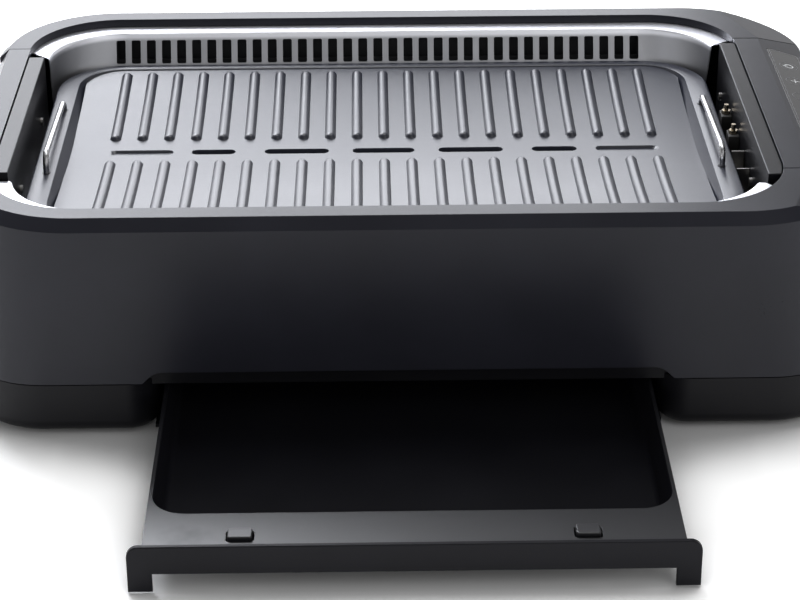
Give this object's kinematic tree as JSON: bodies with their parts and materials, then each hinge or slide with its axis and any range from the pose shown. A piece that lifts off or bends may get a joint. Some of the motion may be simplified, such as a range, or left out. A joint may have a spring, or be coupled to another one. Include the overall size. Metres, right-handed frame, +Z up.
{
  "type": "smokeless electric grill",
  "caption": "Countertop electric grill with a lift-out ribbed plate in a steel liner, a smoke fan behind slots, touch controls on one end and a pull-out drip tray.",
  "frame": {"origin": "centre of the body's footprint, on the table under the rubber feet", "axes": "+X to the right seen from the front, +Y to the back, +Z up"},
  "size_m": [0.57, 0.546, 0.15],
  "materials": {
    "slate_shell": "satin moulded plastic with a fine grain",
    "black_base": "matt black moulded plastic",
    "black_bar": "satin black moulded plastic",
    "drawer_black": "satin black moulded plastic",
    "panel_black": "glossy black with pale signs",
    "liner_steel": "bright rolled sheet",
    "plate_coating": "cast plate with a satin dark non-stick coating",
    "wire_steel": "bright drawn rod",
    "element_steel": "dull grey tube",
    "white_ceramic": null,
    "contact_brass": "bright turned brass",
    "screw_steel": "zinc plated",
    "foot_rubber": "matt rubber",
    "fan_plastic": "matt dark grey moulded plastic",
    "motor_steel": "plated pressed can",
    "board_laminate": "green circuit laminate",
    "lead_sheath": "soft red lead sheath",
    "runner_plastic": "slippery pale plastic"
  },
  "bodies": {
    "housing": {"upper_housing": "slate_shell", "left_end_cover": "slate_shell", "right_end_cover": "slate_shell", "touch_panel": "panel_black", "control_board": "board_laminate", "lower_base": "black_base", "rubber_feet": "foot_rubber", "housing_screws": "screw_steel", "liner_screws": "screw_steel", "steel_liner": "liner_steel", "left_side_bar": "black_bar", "right_side_bar": "black_bar", "side_bar_screws": "screw_steel", "heating_element": "element_steel", "element_supports": "screw_steel", "terminal_blocks": "white_ceramic", "terminal_studs": "contact_brass", "terminal_plugs": "fan_plastic", "probe_bracket": "screw_steel", "thermal_cutout": "motor_steel", "fan_scroll": "fan_plastic", "scroll_screws": "screw_steel", "fan_motor": "motor_steel", "smoke_duct": "fan_plastic", "exhaust_grille": "black_base", "mains_inlet": "black_base", "inlet_blades": "contact_brass", "power_board": "board_laminate", "power_relay": "fan_plastic", "element_leads": "lead_sheath", "mains_lead": "lead_sheath", "fan_lead": "lead_sheath", "tray_runners": "runner_plastic"},
    "plate": {"grill_plate": "plate_coating", "left_handle": "wire_steel", "right_handle": "wire_steel"},
    "drawer": {"drip_tray": "drawer_black", "drawer_front": "drawer_black"},
    "fan": {"fan_impeller": "fan_plastic", "fan_shaft": "screw_steel", "impeller_nut": "contact_brass"}
  },
  "joints": [
    {"name": "drawer_slide", "type": "slide", "parent": "housing", "child": "drawer", "axis": [0, -1, 0], "range_m": [-0.175, 0.1]},
    {"name": "plate_lift", "type": "slide", "parent": "housing", "child": "plate", "axis": [0, 0, 1], "range_m": [0, 0.07]},
    {"name": "fan_spin", "type": "hinge", "parent": "housing", "child": "fan", "pos_m": [-0.013, 0.128, 0.055], "axis": [0, 0, 1], "continuous": true}
  ]
}
